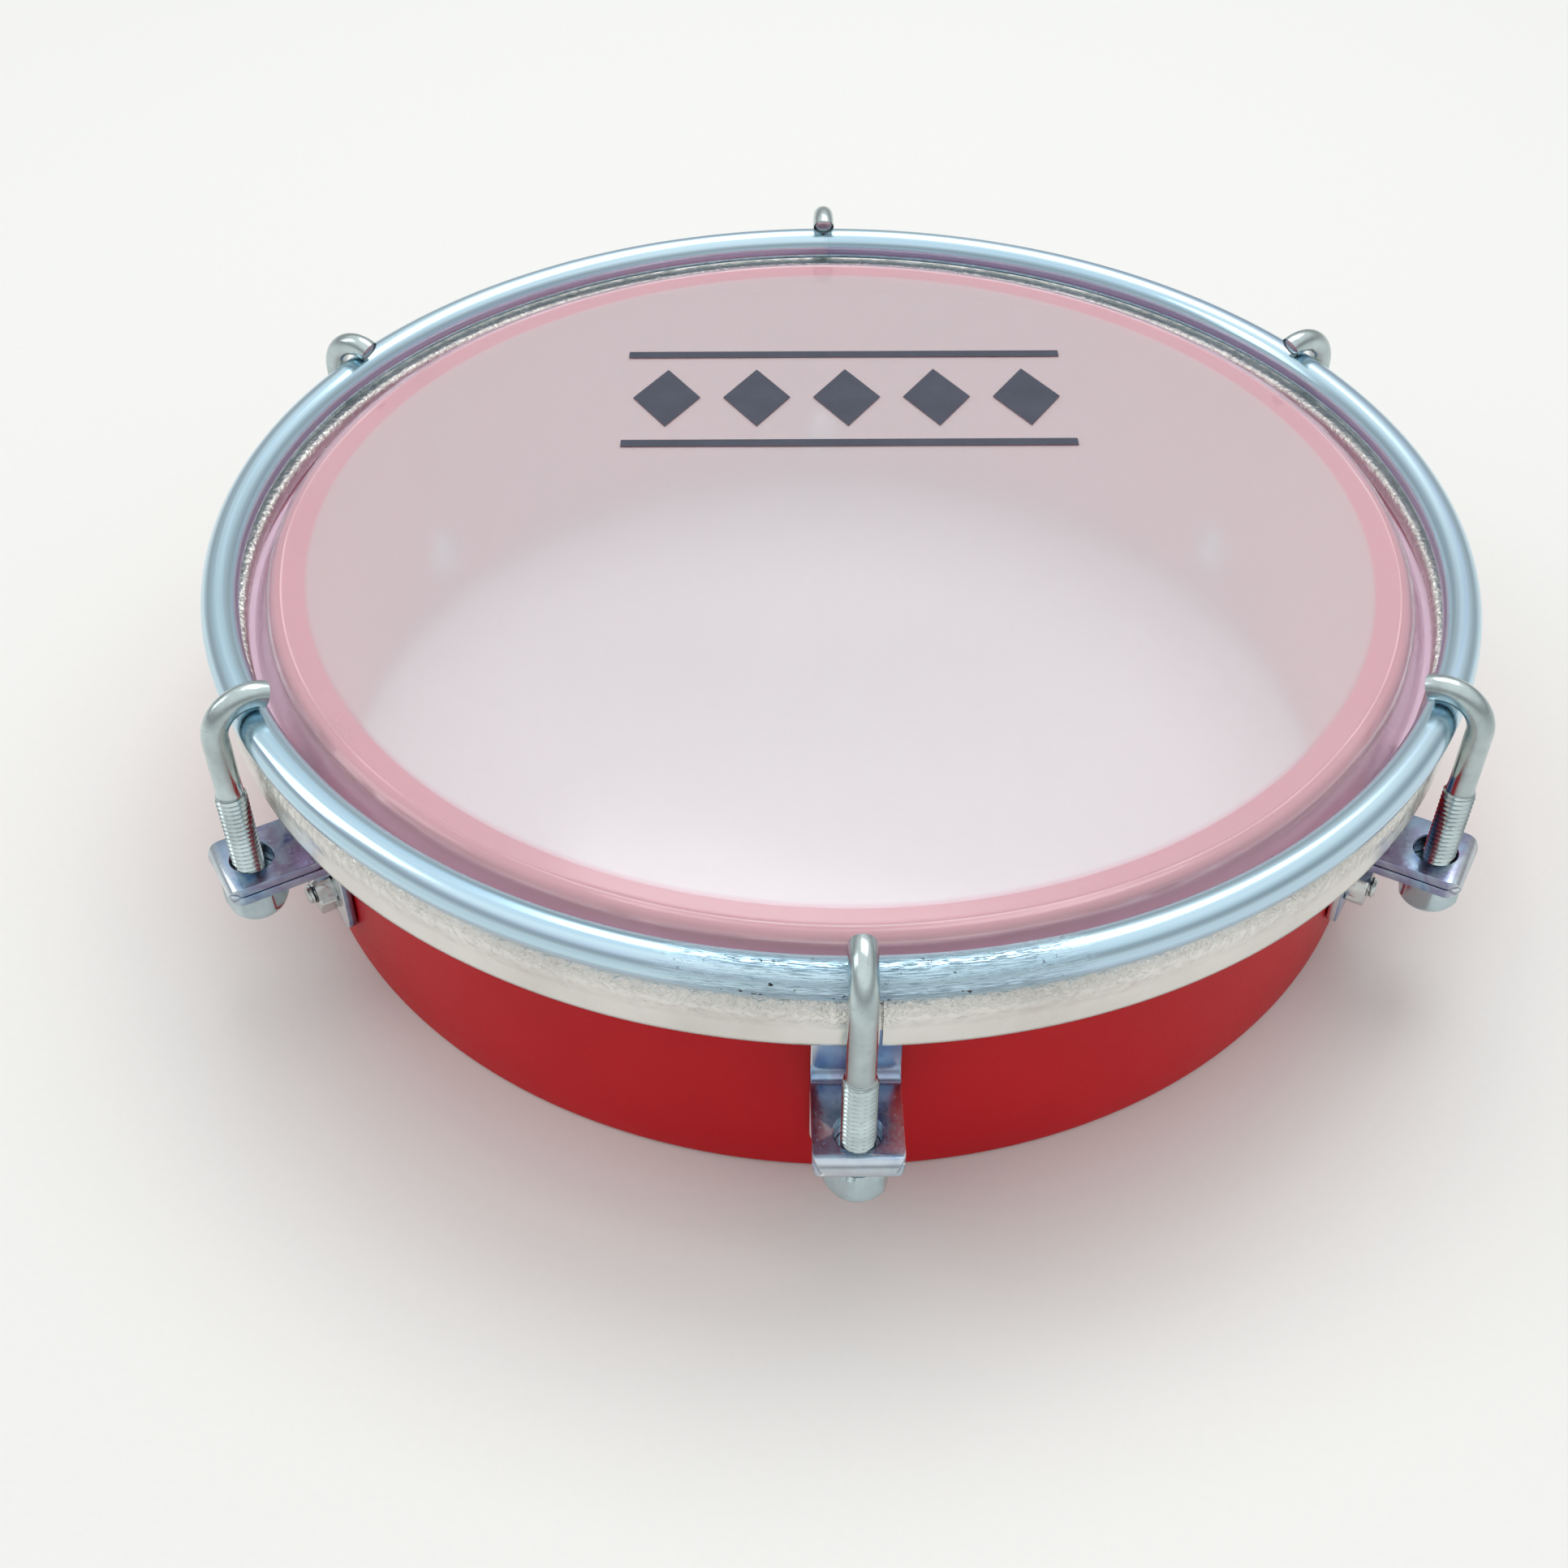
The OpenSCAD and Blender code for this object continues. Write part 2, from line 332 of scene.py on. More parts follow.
def distance_from_axis(nt, coords):
    """How far a point is from the drum's axis."""
    flat = node(nt, "ShaderNodeVectorMath", {0: coords, 1: (1, 1, 0)}, operation="MULTIPLY").outputs["Vector"]
    return node(nt, "ShaderNodeVectorMath", {0: flat}, operation="LENGTH").outputs["Value"]


def noise_of(nt, vector, scale, detail=3.0, roughness=0.5, distortion=0.0):
    """Noise from 0 to 1 at a place."""
    n = node(nt, "ShaderNodeTexNoise", {"Vector": vector, "Scale": scale, "Detail": detail,
                                        "Roughness": roughness, "Distortion": distortion})
    return n.outputs["Fac"]


def ramp(nt, fac, stops):
    """A colour ramp; each stop is a position and a colour or a grey."""
    r = node(nt, "ShaderNodeValToRGB", {"Fac": fac})
    elements = r.color_ramp.elements
    while len(elements) < len(stops):
        elements.new(0.5)
    for element, (at, value) in zip(elements, stops):
        element.position = at
        element.color = (*value, 1) if isinstance(value, tuple) else (value, value, value, 1)
    return r.outputs["Color"]


def math_node(nt, operation, *values):
    """The result of a sum on sockets or numbers."""
    n = nt.nodes.new("ShaderNodeMath")
    n.operation = operation
    for i, value in enumerate(values):
        if isinstance(value, bpy.types.NodeSocket):
            nt.links.new(value, n.inputs[i])
        else:
            n.inputs[i].default_value = value
    return n.outputs[0]


def mix_colour(nt, fac, a, b, blend="MIX"):
    """Blend colour b over colour a by a factor."""
    n = nt.nodes.new("ShaderNodeMix")
    n.data_type = "RGBA"
    n.blend_type = blend
    for i, value in ((0, fac), (6, a), (7, b)):
        if isinstance(value, bpy.types.NodeSocket):
            nt.links.new(value, n.inputs[i])
        else:
            n.inputs[i].default_value = (*value, 1) if isinstance(value, tuple) else value
    return n.outputs[2]


def bump(nt, height, distance, strength=1.0, normal=None):
    """A normal bumped by a height."""
    inputs = {"Height": height, "Distance": distance, "Strength": strength}
    if normal is not None:
        inputs["Normal"] = normal
    return node(nt, "ShaderNodeBump", inputs).outputs["Normal"]


def red_plastic():
    """Moulded ABS: satin, with faint flow marks and a fine grain."""
    mat, nt, bsdf = new_material("red_plastic")
    coords = object_coords(nt)
    broad = noise_of(nt, coords, 40, 3)
    fine = noise_of(nt, coords, 2600, 2)
    colour = ramp(nt, broad, [(0.3, (0.50, 0.003, 0.009)), (0.7, (0.57, 0.004, 0.011))])
    nt.links.new(colour, bsdf.inputs["Base Color"])
    nt.links.new(ramp(nt, fine, [(0.25, 0.36), (0.8, 0.46)]), bsdf.inputs["Roughness"])
    nt.links.new(bump(nt, fine, 0.00001, 0.35), bsdf.inputs["Normal"])
    bsdf.inputs["IOR"].default_value = 1.28
    bsdf.inputs["Subsurface Weight"].default_value = 0.08
    bsdf.inputs["Subsurface Radius"].default_value = (1.0, 0.2, 0.15)
    bsdf.inputs["Subsurface Scale"].default_value = 0.002
    return mat


def film_plastic():
    """Milky translucent film: part of the light goes through, softened, and part is scattered."""
    mat, nt, bsdf = new_material("film_plastic")
    coords = object_coords(nt)
    cloud = noise_of(nt, coords, 60, 4)
    fine = noise_of(nt, coords, 900, 3)
    radius = distance_from_axis(nt, coords)
    pink_glow_zone = node(nt, "ShaderNodeMapRange", {"Value": radius, "From Min": film_glow_in,
                                           "From Max": film_glow_out}).outputs["Result"]
    # The film is milky over the hollow. Over the shell top and the collar it carries a painted pink glow, the
    # red shell's light showing through it.
    colour = ramp(nt, pink_glow_zone, [(0.24, (0.82, 0.81, 0.84)), (0.29, (0.80, 0.655, 0.725)),
                             (0.68, (0.80, 0.655, 0.725)), (0.74, (0.97, 0.76, 0.93))])
    colour = mix_colour(nt, ramp(nt, cloud, [(0.3, 0.0), (0.7, 0.12)]), colour, (0.85, 0.82, 0.85))
    # Painted highlights: pale thin rings along the two creases by the bearing edge.
    crease_highlights = ((shell_r - bearing_r - 0.15 * MM, 0.16 * MM), (shell_r + 0.05 * MM, 0.13 * MM))
    for ring_r, half_width in crease_highlights:
        colour = mix_colour(nt, crease_highlight_mask(nt, coords, ring_r, half_width), colour, (0.98, 0.93, 0.96))
    nt.links.new(colour, bsdf.inputs["Base Color"])
    nt.links.new(ramp(nt, fine, [(0.3, 0.11), (0.8, 0.14)]), bsdf.inputs["Roughness"])
    nt.links.new(bump(nt, fine, 0.000006, 0.3), bsdf.inputs["Normal"])
    bsdf.inputs["IOR"].default_value = 1.48
    bsdf.inputs["Transmission Weight"].default_value = 0.70
    return mat


def crease_highlight_mask(nt, coords, ring_r, half_width):
    """A thin wandering ring of painted highlight along a crease in the film, stronger in some places."""
    distance = distance_from_axis(nt, coords)
    wander = math_node(nt, "MULTIPLY_ADD", noise_of(nt, coords, 30, 2), 0.9 * MM, -0.45 * MM)
    off = math_node(nt, "ABSOLUTE", math_node(nt, "SUBTRACT", math_node(nt, "ADD", distance, wander), ring_r))
    line = node(nt, "ShaderNodeMapRange", {"Value": off, "From Min": half_width, "From Max": half_width / 4},
                interpolation_type="SMOOTHSTEP").outputs["Result"]
    return math_node(nt, "MULTIPLY", line, ramp(nt, noise_of(nt, coords, 45, 2), [(0.35, 0.15), (0.6, 1.0)]))


def ink():
    """Screen-printed dark navy ink, a little thin in places."""
    mat, nt, bsdf = new_material("print_ink")
    coords = object_coords(nt)
    patches = noise_of(nt, coords, 220, 5)
    grain = noise_of(nt, coords, 3000, 2)
    colour = ramp(nt, patches, [(0.3, (0.024, 0.031, 0.056)), (0.75, (0.040, 0.048, 0.080))])
    nt.links.new(colour, bsdf.inputs["Base Color"])
    nt.links.new(ramp(nt, grain, [(0.3, 0.38), (0.8, 0.52)]), bsdf.inputs["Roughness"])
    return mat


def zinc_bar():
    """Bright blue-passivated zinc over a drawn bar: streaks run along it, and the weld is ground."""
    mat, nt, bsdf = new_material("zinc_bar")
    streak_uv = uv_coords(nt, (14, 1500, 1))
    coarse_uv = uv_coords(nt, (5, 420, 1))
    streaks = noise_of(nt, streak_uv, 1.0, 4, 0.6)
    coarse = noise_of(nt, coarse_uv, 1.0, 3, 0.5)
    colour = ramp(nt, coarse, [(0.30, (0.40, 0.61, 0.76)), (0.50, (0.58, 0.77, 0.87)),
                               (0.72, (0.46, 0.62, 0.82))])
    weld = weld_mask(nt)
    scratched = noise_of(nt, uv_coords(nt, (420, 6500, 1)), 1.0, 5, 0.7)
    pits = noise_of(nt, object_coords(nt), 900, 3)
    dark = math_node(nt, "MULTIPLY", ramp(nt, scratched, [(0.50, 0.0), (0.60, 1.0)]), weld)
    dark_pits = math_node(nt, "MULTIPLY", ramp(nt, pits, [(0.66, 0.0), (0.70, 1.0)]), weld)
    colour = mix_colour(nt, math_node(nt, "MULTIPLY", dark, 0.6), colour, (0.12, 0.22, 0.30))
    colour = mix_colour(nt, dark_pits, colour, (0.05, 0.05, 0.05))
    nt.links.new(colour, bsdf.inputs["Base Color"])
    bsdf.inputs["Metallic"].default_value = 1.0
    rough = ramp(nt, streaks, [(0.3, 0.12), (0.75, 0.26)])
    rough = math_node(nt, "ADD", rough, math_node(nt, "MULTIPLY", weld, 0.10))
    nt.links.new(rough, bsdf.inputs["Roughness"])
    height = math_node(nt, "ADD", streaks, math_node(nt, "MULTIPLY", dark, 1.5))
    nt.links.new(bump(nt, height, 0.00004, 0.6), bsdf.inputs["Normal"])
    return mat


def weld_mask(nt):
    """1 near the counter hoop's weld, beside lug 1, falling to 0 about 12 mm along the bar."""
    coords = node(nt, "ShaderNodeTexCoord")
    split = node(nt, "ShaderNodeSeparateXYZ", {"Vector": coords.outputs["Object"]})
    wobble = noise_of(nt, coords.outputs["Object"], 300, 2)
    across = math_node(nt, "ABSOLUTE", math_node(nt, "SUBTRACT", split.outputs["X"], 0.0015))
    across = math_node(nt, "ADD", across, math_node(nt, "MULTIPLY", wobble, 0.006))
    near = node(nt, "ShaderNodeMapRange", {"Value": across, "From Min": 0.028, "From Max": 0.015},
                interpolation_type="SMOOTHSTEP")
    front = math_node(nt, "LESS_THAN", split.outputs["Y"], 0.0)
    return math_node(nt, "MULTIPLY", near.outputs["Result"], front)


def zinc_sheet():
    """Blue-passivated sheet steel with bluish and purple patches and pale worn edges."""
    mat, nt, bsdf = new_material("zinc_sheet")
    coords = object_coords(nt)
    patches = noise_of(nt, coords, 170, 3, 0.5, 0.6)
    fine = noise_of(nt, object_coords(nt, (1, 1, 0.15)), 2500, 3)
    colour = ramp(nt, patches, [(0.28, (0.12, 0.22, 0.46)), (0.45, (0.34, 0.47, 0.62)),
                                (0.60, (0.30, 0.31, 0.47)), (0.78, (0.48, 0.58, 0.66))])
    split = node(nt, "ShaderNodeSeparateXYZ", {"Vector": coords})
    high = node(nt, "ShaderNodeMapRange", {"Value": split.outputs["Z"], "From Min": ledge_z + 2.5 * MM,
                                           "From Max": ledge_z + 4.5 * MM}).outputs["Result"]
    upper_leg_shade = math_node(nt, "MULTIPLY", high, ramp(nt, patches, [(0.35, 0.95), (0.65, 0.45)]))
    # Painted shade: the upper leg, which lies under the hoop, is a deeper blue.
    colour = mix_colour(nt, upper_leg_shade, colour, (0.05, 0.12, 0.30))
    # Painted highlight: the rounded folded lip is paler.
    lip_highlight = node(nt, "ShaderNodeMapRange", {"Value": distance_from_axis(nt, coords),
                                           "From Min": ledge_r - 1.5 * MM, "From Max": ledge_r - 0.7 * MM,
                                           "To Max": 0.6}).outputs["Result"]
    colour = mix_colour(nt, lip_highlight, colour, (0.66, 0.70, 0.69))
    nt.links.new(worn_edges(nt, colour, (0.78, 0.82, 0.84)), bsdf.inputs["Base Color"])
    bsdf.inputs["Metallic"].default_value = 1.0
    nt.links.new(ramp(nt, fine, [(0.3, 0.16), (0.8, 0.30)]), bsdf.inputs["Roughness"])
    nt.links.new(bump(nt, fine, 0.000015, 0.4), bsdf.inputs["Normal"])
    return mat


def worn_edges(nt, colour, worn):
    """Lightens a colour where the surface turns sharply."""
    geometry = node(nt, "ShaderNodeNewGeometry")
    edge = ramp(nt, geometry.outputs["Pointiness"], [(0.54, 0.0), (0.62, 1.0)])
    return mix_colour(nt, edge, colour, worn)


def plain_zinc(name, tint):
    """Clear-passivated zinc on drawn wire and turned parts, lightly scuffed."""
    mat, nt, bsdf = new_material(name)
    coords = object_coords(nt)
    cloud = noise_of(nt, coords, 260, 4)
    fine = noise_of(nt, object_coords(nt, (1, 1, 0.25)), 1900, 3)
    scuffs = noise_of(nt, coords, 620, 6, 0.7, 1.2)
    dark = tuple(c * 0.70 for c in tint)
    colour = ramp(nt, cloud, [(0.3, dark), (0.7, tint)])
    scuffed = ramp(nt, scuffs, [(0.62, 0.0), (0.66, 1.0)])
    colour = mix_colour(nt, math_node(nt, "MULTIPLY", scuffed, 0.35), colour, (0.40, 0.43, 0.40))
    geometry = node(nt, "ShaderNodeNewGeometry")
    root = ramp(nt, geometry.outputs["Pointiness"], [(0.44, 0.85), (0.495, 0.0)])     # painted shade in the thread roots
    colour = mix_colour(nt, root, colour, (0.05, 0.07, 0.08))
    nt.links.new(colour, bsdf.inputs["Base Color"])
    bsdf.inputs["Metallic"].default_value = 1.0
    nt.links.new(ramp(nt, fine, [(0.3, 0.15), (0.8, 0.27)]), bsdf.inputs["Roughness"])
    height = math_node(nt, "SUBTRACT", fine, math_node(nt, "MULTIPLY", scuffed, 0.8))
    nt.links.new(bump(nt, height, 0.00002, 0.5), bsdf.inputs["Normal"])
    return mat


def mill_aluminium():
    """Mill-finish strip: a fine grain round the hoop, and small nicks along its lower edge."""
    mat, nt, bsdf = new_material("mill_aluminium")
    coords = object_coords(nt)
    grain = noise_of(nt, uv_coords(nt, (420, 260, 1)), 1.0, 4, 0.6)
    pucker = noise_of(nt, coords, 1250, 4, 0.6, 0.9)
    cloud = noise_of(nt, coords, 90, 3)
    colour = ramp(nt, cloud, [(0.3, (0.72, 0.71, 0.67)), (0.7, (0.84, 0.83, 0.79))])
    split = node(nt, "ShaderNodeSeparateXYZ", {"Vector": coords})
    low = node(nt, "ShaderNodeMapRange", {"Value": split.outputs["Z"], "From Min": flesh_z + 1.0 * MM,
                                          "From Max": flesh_z}).outputs["Result"]
    nicks = ramp(nt, noise_of(nt, uv_coords(nt, (110, 700, 1)), 1.0, 4, 0.7), [(0.62, 0.0), (0.68, 1.0)])
    nicks = math_node(nt, "MULTIPLY", nicks, low)
    colour = mix_colour(nt, math_node(nt, "MULTIPLY", nicks, 0.8), colour, (0.16, 0.14, 0.12))
    nt.links.new(colour, bsdf.inputs["Base Color"])
    bsdf.inputs["Metallic"].default_value = 1.0
    nt.links.new(ramp(nt, grain, [(0.3, 0.20), (0.8, 0.32)]), bsdf.inputs["Roughness"])
    upper = node(nt, "ShaderNodeMapRange", {"Value": split.outputs["Z"], "From Min": flesh_z + 3.0 * MM,
                                            "From Max": flesh_z + 5.6 * MM}).outputs["Result"]
    rough_part = math_node(nt, "MULTIPLY", pucker, upper)
    normal = bump(nt, rough_part, 0.0003, 1.0)
    nt.links.new(bump(nt, grain, 0.00001, 0.4, normal), bsdf.inputs["Normal"])
    return mat


RED = red_plastic()
FILM = film_plastic()
INK = ink()
BAR = zinc_bar()
SHEET = zinc_sheet()
HOOK = plain_zinc("zinc_hook", (0.56, 0.66, 0.67))
NUT = plain_zinc("zinc_nut", (0.58, 0.72, 0.76))
SCREW = plain_zinc("zinc_screw", (0.70, 0.73, 0.72))
ALUMINIUM = mill_aluminium()


# ---------------------------------------------------------------- pieces of the root body

def shell():
    """The moulded shell, drilled for the bracket screws."""
    inner = shell_r - shell_wall
    outline = (arc(shell_r - edge_r, edge_r, edge_r, -90, 0, 6)
               + arc(shell_r - bearing_r, shell_h - bearing_r, bearing_r, 0, 90, 10)
               + arc(inner + edge_r, shell_h - edge_r, edge_r, 90, 180, 6)
               + arc(inner + edge_r, edge_r, edge_r, 180, 270, 6))
    verts, faces, _ = lathe(subdivided(outline, 4 * MM), 360)
    obj = new_object("shell_body", verts, faces, "root", ["shell"], RED)
    cutters = []
    for i in range(LUGS):
        place = outward_at(i, inner - MM)
        hole_r = screw_r + 0.1 * MM
        cutters.append(round_cutter([(hole_r, 0), (hole_r, shell_wall + 2 * MM)], place, 32))
    cut_away(obj, cutters)
    finish_mesh(obj.data, 35)
    return obj


def film_height(r, a):
    """Small rise or dip of the film's flat part, and of its creases near the bearing edge."""
    x, y = r * math.cos(a), r * math.sin(a)
    wave = noise.noise(Vector((x * 38, y * 38, 0.3))) * 0.05 * MM
    crease_r = shell_r - bearing_r - 0.15 * MM + noise.noise(Vector((x * 30, y * 30, 4))) * 0.25 * MM
    crease = 0.10 * MM * math.exp(-((r - crease_r) / (0.22 * MM)) ** 2)
    outer_r = shell_r + noise.noise(Vector((x * 40, y * 40, 9))) * 0.3 * MM
    crease += 0.12 * MM * math.exp(-((r - outer_r) / (0.20 * MM)) ** 2)
    inside = max(0.0, min(1.0, (shell_r - shell_wall - r) / (8 * MM)))
    return wave * inside + crease


def collar_folds(r, a):
    """Folds where the flat film was formed into a collar: a few strong ones and a fine ripple."""
    total = 0.0
    for centre, width, height in COLLAR_FOLDS:
        d = math.degrees(math.remainder(a - math.radians(centre), TAU))
        total += height * math.exp(-(d / width) ** 2)
    ripple = noise.noise(Vector((math.cos(a) * 26, math.sin(a) * 26, r * 120))) * 0.10
    rise = max(0.0, min(1.0, (r - (shell_r - bearing_r)) / (2.0 * MM)))
    return (total + ripple) * rise * MM


# Angle in degrees, width in degrees and height in mm of each strong fold in the collar
COLLAR_FOLDS = [(-107, 0.5, 0.22), (-109.5, 0.9, -0.12), (-135.5, 0.6, 0.30), (-137.2, 1.4, -0.15),
                (-38, 1.2, 0.15), (20, 1.5, 0.12), (75, 1.0, 0.15), (148, 1.3, 0.14), (-165, 1.2, 0.12)]


def drumhead_film():
    """The head: flat over the shell, bent over the bearing edge, down the collar, and up into the hoop."""
    half = film_t / 2
    mid_z = film_top - half
    ax, az = shell_r - bearing_r, shell_h - bearing_r
    ar = mid_z - az
    cx, cz = ax + ar * math.sin(collar_slope), az + ar * math.cos(collar_slope)
    end_z = cz - (collar_end_r - cx) * math.tan(collar_slope)
    lip_top = flesh_top - flesh_t - 1.0 * MM
    path = [(r * MM, mid_z) for r in (0.5, 6, 14, 22, 30, 38, 46, 54, 60, 65, 68, 70, 71.5, 72.6, 73.4)]
    path += [(ax + x * MM, mid_z) for x in (-0.9, -0.7, -0.5, -0.35, -0.2, -0.1)]
    path += arc(ax, az, ar, 90, 90 - math.degrees(collar_slope), 16)
    path += [(cx + (collar_end_r - cx) * t, cz + (end_z - cz) * t)
             for t in (0.06, 0.12, 0.2, 0.35, 0.5, 0.65, 0.8, 0.94)]
    path += [(collar_end_r + 0.2 * MM, end_z), (film_lip_r - 0.3 * MM, end_z),
             (film_lip_r, end_z + 0.3 * MM), (film_lip_r, lip_top)]
    steps = 480
    rows = []
    for k, (r, z) in enumerate(path):
        before, after = path[max(0, k - 1)], path[min(len(path) - 1, k + 1)]
        tangent = Vector((after[0] - before[0], after[1] - before[1])).normalized()
        rows.append((r, z, -tangent.y, tangent.x))
    rings_top, rings_low = [], []
    for r, z, nx, nz in rows:
        top, low = [], []
        for i in range(steps):
            a = TAU * i / steps
            lift = film_height(r, a) + collar_folds(r, a) if r < collar_end_r - 0.2 * MM else 0.0
            if r > shell_r - shell_wall:
                lift = max(0.0, lift)       # the film rests on the shell here
            for side, out in ((half, top), (-half, low)):
                rr, zz = r + nx * (side + lift), z + nz * (side + lift)
                out.append((rr * math.cos(a), rr * math.sin(a), zz))
        rings_top.append(top)
        rings_low.append(low)
    verts, faces = tube(rings_top + rings_low[::-1])
    obj = new_object("head_film", verts, faces, "root", ["drumhead_film"], FILM, sharp=60)
    obj.visible_shadow = False      # lamps shine through the film
    return obj


def pucker(r, z, a):
    """Crumples the flesh hoop's shoulder, where the strip was rolled over, and leaves its wall smooth."""
    height = (z - (flesh_z + 2.6 * MM)) / (2.2 * MM)
    weight = max(0.0, min(1.0, height))
    if r < flesh_in_r + 2 * flesh_t:
        weight *= 0.3
    p = Vector((r * math.cos(a), r * math.sin(a), z * 0.8))
    rough = noise.noise(p * 900) * 0.6 + noise.noise(p * 1700) * 0.4
    drift = noise.noise(Vector((math.cos(a) * 5, math.sin(a) * 5, 1.0))) * 0.12 * MM
    push = rough * weight * 0.16 * MM
    outside = 1.0 if r > flesh_r - shoulder_r else 0.0
    return r + (push + drift * 0.5 - 0.13 * MM) * outside, z + (push - 0.14 * MM) * weight


def flesh_hoop():
    """Rolled aluminium hoop of open section, with a butt seam beside lug 1."""
    inner_wall_z = inner_wall_bottom()
    t = flesh_t
    cx, cz = flesh_r - shoulder_r, flesh_top - shoulder_r
    outline = ([(flesh_r - t * 0.7, flesh_z), (flesh_r - 0.25 * MM, flesh_z), (flesh_r, flesh_z + 0.25 * MM)]
               + arc(cx, cz, shoulder_r, 0, 90, 14)
               + arc(flesh_in_r + t, flesh_top - t, t, 90, 180, 6)
               + [(flesh_in_r, inner_wall_z), (flesh_in_r + t, inner_wall_z)]
               + [(flesh_in_r + t, flesh_top - t)]
               + arc(cx, cz, shoulder_r - t, 90, 0, 8)
               + [(flesh_r - t, flesh_z + 0.2 * MM)])
    outline = subdivided(outline, 0.45 * MM)
    gap = seam_w / flesh_r
    verts, faces, uvs = lathe(outline, 1500, seam_angle + gap / 2, TAU - gap, pucker)
    return new_object("flesh_hoop_strip", verts, faces, "root", ["flesh_hoop"],
                      ALUMINIUM, uvs, sharp=50)


def inner_wall_bottom():
    """The lower edge of the hoop's inside wall: it stops just above the film, which turns in under it."""
    return film_low.z + film_t + 0.65 * MM


def rim_warp(r, z, a):
    """A drawn bar is never quite true: slight waves along it, and a low swelling at the weld."""
    d = Vector((r - rim_r, z - rim_z))
    near = math.exp(-(math.remainder(a - math.radians(-89), TAU) * rim_r / (6 * MM)) ** 2)
    grow = 1 - 0.012 * (1 - near) + 0.006 * noise.noise(Vector((math.cos(a) * 9, math.sin(a) * 9, 2)))
    return rim_r + d.x * grow, rim_z + d.y * grow


def counter_hoop():
    """The ring of round bar that the hooks pull down."""
    outline = arc(rim_r, rim_z, bar_r, 0, 360, 48)[:-1]
    verts, faces, uvs = lathe(outline, 720, math.radians(90), TAU, rim_warp)
    return new_object("counter_hoop_bar", verts, faces, "root", ["counter_hoop"], BAR, uvs)


def head_print():
    """A plain printed motif on the head: a row of lozenges between two bars."""
    thickness = 0.03 * MM
    lift = 0.10 * MM
    base = film_top + lift
    verts, faces = [], []

    def plate(points):
        start, n = len(verts), len(points)
        for z in (base, base + thickness):
            verts.extend((x, y, z) for x, y in points)
        faces.append(tuple(range(start + n - 1, start - 1, -1)))
        faces.append(tuple(range(start + n, start + 2 * n)))
        for k in range(n):
            m = (k + 1) % n
            faces.append((start + k, start + m, start + n + m, start + n + k))

    centre = Vector((2.3 * MM, 33 * MM))
    for side in (-1, 1):
        half_w, y = 33 * MM, centre.y + side * 12.5 * MM
        plate([(centre.x - half_w, y - 0.9 * MM), (centre.x + half_w, y - 0.9 * MM),
               (centre.x + half_w, y + 0.9 * MM), (centre.x - half_w, y + 0.9 * MM)])
    for k in range(-2, 3):
        x = centre.x + k * 13.4 * MM
        plate([(x, centre.y - 8 * MM), (x + 5 * MM, centre.y),
               (x, centre.y + 8 * MM), (x - 5 * MM, centre.y)])
    return new_object("head_print", verts, faces, "root", (), INK)


def bracket_path():
    """The middle line of the folded strip, in its lug's radius and height, from the upper leg down."""
    half = strip_t / 2
    under = ledge_z - 2 * strip_t - fold_gap
    fold_x, fold_z = ledge_r - strip_t - fold_gap / 2, ledge_z - strip_t - fold_gap / 2
    up_x, low_x = upper_in + strip_t + bend_r, leg_in + strip_t + bend_r
    mid = bend_r + half
    corner = [leg_corner_r * (1 - math.cos(math.radians(q))) for q in range(0, 91, 15)]
    path = [(upper_in + half, leg_top - drop) for drop in corner]
    path += [(upper_in + half, z * MM) for z in (27.5, 25.5)]
    path += arc(up_x, ledge_z + bend_r, mid, 180, 270, 10)
    path += [(x * MM, ledge_z - half) for x in (81.5, 84, 86.5, 88)]
    path += [(fold_x - 0.5 * MM, ledge_z - half)]
    path += arc(fold_x, fold_z, half + fold_gap / 2, 90, -90, 12)
    path += [(fold_x - 0.5 * MM, under + half)]
    path += [(x * MM, under + half) for x in (88, 86.5, 84, 81.5)]
    path += arc(low_x, under - bend_r, mid, 90, 180, 10)
    path += [(leg_in + half, z * MM) for z in (15, 13, 11, 9.5)]
    path += [(leg_in + half, leg_bottom + rise) for rise in reversed(corner)]
    return path


def strip_width(x, z):
    """Half the strip's width at a point of its path: it narrows at the corners of its ends and fold."""
    half = strip_w / 2
    for end in (leg_top - z, z - leg_bottom):
        if end < leg_corner_r:
            half -= leg_corner_r - math.sqrt(max(0.0, leg_corner_r ** 2 - (leg_corner_r - end) ** 2))
    reach = (x + strip_t / 2) - (ledge_r - fold_corner_r)
    if reach > 0:
        half -= fold_corner_r - math.sqrt(max(0.0, fold_corner_r ** 2 - reach ** 2))
    return half


